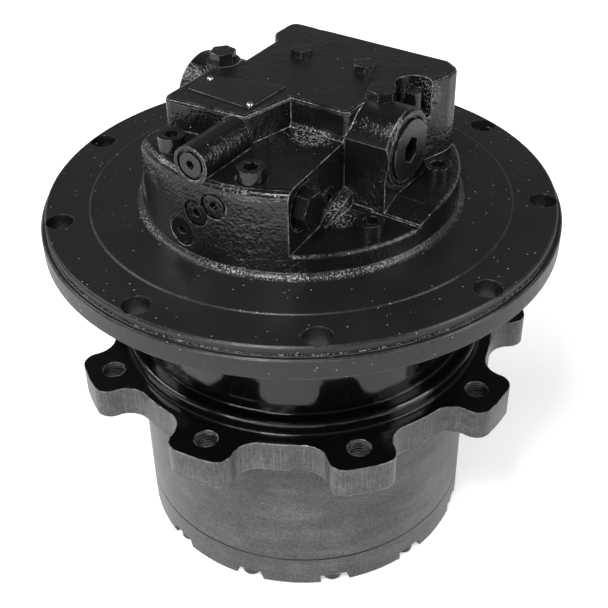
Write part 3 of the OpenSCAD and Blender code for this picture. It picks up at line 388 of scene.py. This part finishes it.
def plain(name, dark, light, roughness, grain, metal=0.0):
    """A surface of one stuff, with grain and stains."""
    f = Finish(name, metal=metal)
    dots = f.noise(grain, detail=4)
    normal = f.bump(dots, grain * 0.15, f.soft_edge(0.5 * mm))
    colour = f.mix(f.noise(8 * mm, detail=4), dark, light)
    return f.finish(colour, f.mix(dots, roughness * 0.8, roughness * 1.2), normal)


finishes = {
    "black_cast_paint": cast_paint(),
    "black_flange_paint": flange_paint(),
    "black_hub_paint": hub_paint(),
    "black_fastener": fastener_paint(),
    "grey_plug": plug_paint(),
    "bearing_steel": steel("bearing_steel", (0.62, 0.63, 0.65), 0.14),
    "machined_steel": steel("machined_steel", (0.5, 0.51, 0.53), 0.26),
    "gear_steel": steel("gear_steel", (0.36, 0.37, 0.39), 0.34),
    "spring_steel": steel("spring_steel", (0.22, 0.22, 0.24), 0.36),
    "cast_steel": plain("cast_steel", (0.24, 0.24, 0.25), (0.33, 0.33, 0.34), 0.42, 1.2 * mm, 0.9),
    "bronze": plain("bronze", (0.46, 0.3, 0.13), (0.58, 0.4, 0.18), 0.3, 0.9 * mm, metal=1.0),
    "friction_lining": plain("friction_lining", (0.13, 0.09, 0.06), (0.22, 0.16, 0.11), 0.8, 0.6 * mm),
    "seal_rubber": plain("seal_rubber", (0.014, 0.014, 0.014), (0.03, 0.03, 0.03), 0.55, 0.7 * mm),
}


def dress(piece, slot):
    """Gives a mesh one finish in all its material slots."""
    piece.data.materials.clear()
    piece.data.materials.append(finishes[slot])
    return piece


for part in frame["record"]["subparts"]:
    dress(nodes[part["node"]], part["material_slot"])


# Pieces that the solids leave to this script


def new_piece(name, mesh, body, slot):
    piece = bpy.data.objects.new(name, mesh)
    bpy.context.scene.collection.objects.link(piece)
    dress(piece, slot)
    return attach(piece, body)


def thread_mesh(name, places, radius, depth, pitch, height, steps=40):
    """Helical thread crests on the walls of round holes, as one mesh.

    Each place turns the hole's own frame, with its mouth at 0 and its wall along -Z, to where it is.
    """
    shape = bmesh.new()
    profile = ((0.0, 0.0), (-height, 0.35), (-height, 0.6), (0.0, 0.95))
    turns = int(depth / pitch) - 1
    for place in places:
        last = None
        for i in range(turns * steps + 1):
            angle = 2 * math.pi * i / steps
            direction = Vector((math.cos(angle), math.sin(angle), 0))
            fade = min(1.0, i / steps, (turns * steps - i) / steps)
            row = []
            for out, along in profile:
                point = direction * (radius + out * fade)
                point.z = -pitch * (i / steps + along)
                row.append(shape.verts.new(place @ point))
            if last:
                for k in range(len(profile) - 1):
                    shape.faces.new((last[k], row[k], row[k + 1], last[k + 1]))
            last = row
    mesh = bpy.data.meshes.new(name)
    bmesh.ops.recalc_face_normals(shape, faces=shape.faces)
    shape.to_mesh(mesh)
    shape.free()
    mesh.polygons.foreach_set("use_smooth", [True] * len(mesh.polygons))
    return mesh


def lobe_places():
    for k in range(LOBE_COUNT):
        angle = FIRST_LOBE_TURN + 2 * math.pi * k / LOBE_COUNT
        x, y = LOBE_HOLE_CIRCLE * math.cos(angle), LOBE_HOLE_CIRCLE * math.sin(angle)
        yield Matrix.Translation((x, y, LOBE_TOP))


new_piece("sprocket_threads", thread_mesh("sprocket_threads", lobe_places(), LOBE_HOLE_R,
          LOBE_TOP - LOBE_BOTTOM, 2 * mm, 0.7 * mm), "hub", "black_hub_paint")


def back_place(x, z):
    return Matrix.Translation((x, BLOCK_BACK - 1 * mm, z)) @ Matrix.Rotation(-math.pi / 2, 4, "X")


PORT_THREADS = (
    ("main_port_threads", MAIN_PORT_PLACES, 10.5 * mm, 20 * mm, 1.8 * mm, 0.8 * mm),
    ("drain_port_threads", (DRAIN_PORT_PLACE,), 6.6 * mm, 14 * mm, 1.4 * mm, 0.6 * mm),
    ("pilot_port_threads", (PILOT_PORT_PLACE,), 4.9 * mm, 12 * mm, 1.2 * mm, 0.5 * mm),
)
for name, spots, radius, depth, pitch, height in PORT_THREADS:
    threads = thread_mesh(name, [back_place(*spot) for spot in spots], radius, depth, pitch, height)
    new_piece(name, threads, "housing", "black_cast_paint")


def plate_mesh(name, corners, level, thickness, rim=0.5 * mm):
    """A thin sheet with rounded corners and a rolled edge."""
    shape = bmesh.new()
    middle = sum((Vector(c) for c in corners), Vector((0, 0))) / len(corners)
    outline = []
    for k, corner in enumerate(corners):
        here = Vector(corner)
        before = (Vector(corners[k - 1]) - here).normalized()
        after = (Vector(corners[(k + 1) % len(corners)]) - here).normalized()
        start, end = here + before * 2 * mm, here + after * 2 * mm
        for i in range(5):
            t = i / 4
            outline.append(start * (1 - t) ** 2 + here * 2 * t * (1 - t) + end * t ** 2)
    rings = []
    for inset, z in ((0, 0), (0, thickness - rim * 0.5), (rim * 0.5, thickness), (rim * 2, thickness)):
        ring = []
        for p in outline:
            q = p + (middle - p).normalized() * inset
            ring.append(shape.verts.new((q.x, q.y, level + z)))
        rings.append(ring)
    for low, high in zip(rings, rings[1:]):
        for i in range(len(low)):
            j = (i + 1) % len(low)
            shape.faces.new((low[i], low[j], high[j], high[i]))
    shape.faces.new(rings[-1])
    mesh = bpy.data.meshes.new(name)
    bmesh.ops.recalc_face_normals(shape, faces=shape.faces)
    shape.to_mesh(mesh)
    shape.free()
    return mesh


def lathe_mesh(name, profile, places, steps=24):
    """A round piece turned from (radius, height) points, at several places."""
    shape = bmesh.new()
    for place in places:
        rings = []
        for radius, height in profile:
            ring = []
            for i in range(steps):
                angle = 2 * math.pi * i / steps
                point = Vector((radius * math.cos(angle), radius * math.sin(angle), height))
                ring.append(shape.verts.new(place @ point))
            rings.append(ring)
        for low, high in zip(rings, rings[1:]):
            for i in range(steps):
                j = (i + 1) % steps
                shape.faces.new((low[i], low[j], high[j], high[i]))
        shape.faces.new(rings[-1])
    mesh = bpy.data.meshes.new(name)
    bmesh.ops.recalc_face_normals(shape, faces=shape.faces)
    shape.to_mesh(mesh)
    shape.free()
    mesh.polygons.foreach_set("use_smooth", [True] * len(mesh.polygons))
    return mesh


plate_corners = [
    (-48.2 * mm, -23.1 * mm), (-48.5 * mm, -43.2 * mm), (-2.8 * mm, -45.3 * mm), (-1.4 * mm, -10.1 * mm),
]
plate = plate_mesh("name_plate", plate_corners, BLOCK_TOP, 0.8 * mm)
new_piece("name_plate", plate, "housing", "grey_plug")
rivet_profile = (
    (2.1 * mm, 0), (2.1 * mm, 0.4 * mm), (1.7 * mm, 1.0 * mm), (0.9 * mm, 1.35 * mm), (0.2 * mm, 1.45 * mm),
)
rivet_places = [
    Matrix.Translation((x * mm, y * mm, BLOCK_TOP + 0.7 * mm)) for x, y in ((-45, -26), (-5.5, -41))
]
rivets = lathe_mesh("plate_rivets", rivet_profile, rivet_places)
new_piece("plate_rivets", rivets, "housing", "machined_steel")


# Studio

# Glow of the floor near the object and from where to where it grows to white
FLOOR_LIFT = 0.52
LIFT_FROM = 0.22
LIFT_TO = 0.75
MIRROR_LIFT = 0.35
FLOOR_HALF = 40.0


def floor():
    """A white floor that keeps the object's shadow and shows white to the camera."""
    mesh = bpy.data.meshes.new("studio_floor")
    corners = [(x * FLOOR_HALF, y * FLOOR_HALF) for x, y in ((-1, -1), (1, -1), (1, 1), (-1, 1))]
    mesh.from_pydata([(x, y, FLOOR_LEVEL - 0.0002) for x, y in corners], [], [(0, 1, 2, 3)])
    piece = bpy.data.objects.new("studio_floor", mesh)
    bpy.context.scene.collection.objects.link(piece)
    f = Finish("studio_floor")
    f.finish(grey(0.8), 0.7)
    rays = f.node("ShaderNodeLightPath")
    f.feed(f.shader.inputs["Emission Color"], (1.0, 1.0, 1.0, 1.0))
    lift = f.map(f.radius(), LIFT_FROM, LIFT_TO, FLOOR_LIFT, 1.0)
    seen = f.math("MULTIPLY", rays.outputs["Is Camera Ray"], lift)
    mirrored = f.math("MULTIPLY", rays.outputs["Is Glossy Ray"], MIRROR_LIFT)
    f.feed(f.shader.inputs["Emission Strength"], f.math("ADD", seen, mirrored))
    mesh.materials.append(f.material)
    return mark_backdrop(piece)


floor()

world = bpy.data.worlds.new("studio")
world.use_nodes = True
bpy.context.scene.world = world
world_nodes, world_links = world.node_tree.nodes, world.node_tree.links
background = world_nodes["Background"]
sky_place = world_nodes.new("ShaderNodeTexCoord").outputs["Generated"]
sky_split = world_nodes.new("ShaderNodeSeparateXYZ")
world_links.new(sky_place, sky_split.inputs[0])
sky_ramp = world_nodes.new("ShaderNodeValToRGB")
world_links.new(sky_split.outputs["Z"], sky_ramp.inputs["Fac"])
sky_ramp.color_ramp.elements[0].color = (0.9, 0.9, 0.9, 1)
sky_ramp.color_ramp.elements[1].color = (0.14, 0.14, 0.14, 1)
sky_ramp.color_ramp.elements[1].position = 0.55
world_links.new(sky_ramp.outputs["Color"], background.inputs["Color"])
background.inputs["Strength"].default_value = 0.5
backdrop = world_nodes.new("ShaderNodeBackground")
backdrop.inputs["Color"].default_value = (1, 1, 1, 1)
seen_or_lit = world_nodes.new("ShaderNodeMixShader")
world_links.new(world_nodes.new("ShaderNodeLightPath").outputs["Is Camera Ray"], seen_or_lit.inputs["Fac"])
world_links.new(background.outputs[0], seen_or_lit.inputs[1])
world_links.new(backdrop.outputs[0], seen_or_lit.inputs[2])
world_links.new(seen_or_lit.outputs[0], world_nodes["World Output"].inputs["Surface"])


def soft_box(name, place, aim, width, height, power):
    data = bpy.data.lights.new(name, "AREA")
    data.shape = "RECTANGLE"
    data.size = width
    data.size_y = height
    data.energy = power
    light = bpy.data.objects.new(name, data)
    bpy.context.scene.collection.objects.link(light)
    direction = Vector(aim) - Vector(place)
    light.matrix_world = Matrix.Translation(place) @ direction.to_track_quat("-Z", "Y").to_matrix().to_4x4()
    return light


soft_box("key_box", (0.2, -0.78, 1.06), (0, 0, -0.02), 0.3, 0.3, 14)
soft_box("left_box", (-0.9, -0.35, 0.8), (0, 0, -0.05), 0.5, 0.5, 7)
soft_box("right_box", (1.0, 0.2, 0.6), (0, 0, -0.1), 0.4, 0.8, 7)
soft_box("front_box", (0.12, -1.2, 0.12), (0, 0, 0.03), 0.7, 0.12, 6)

camera_data = bpy.data.cameras.new("photo_camera")
camera_data.sensor_width = 36
camera_data.lens = 1111.85 * 36 / 608
camera = bpy.data.objects.new("photo_camera", camera_data)
bpy.context.scene.collection.objects.link(camera)
camera_place = Vector((0.3378, -0.4923, 0.3534))
camera_aim = Vector((-0.4540, 0.6631, -0.5951))
camera.matrix_world = (Matrix.Translation(camera_place)
                       @ camera_aim.to_track_quat("-Z", "Y").to_matrix().to_4x4()
                       @ Matrix.Rotation(-0.0174, 4, "Z"))
bpy.context.scene.camera = camera

bpy.context.scene.view_settings.view_transform = "Standard"
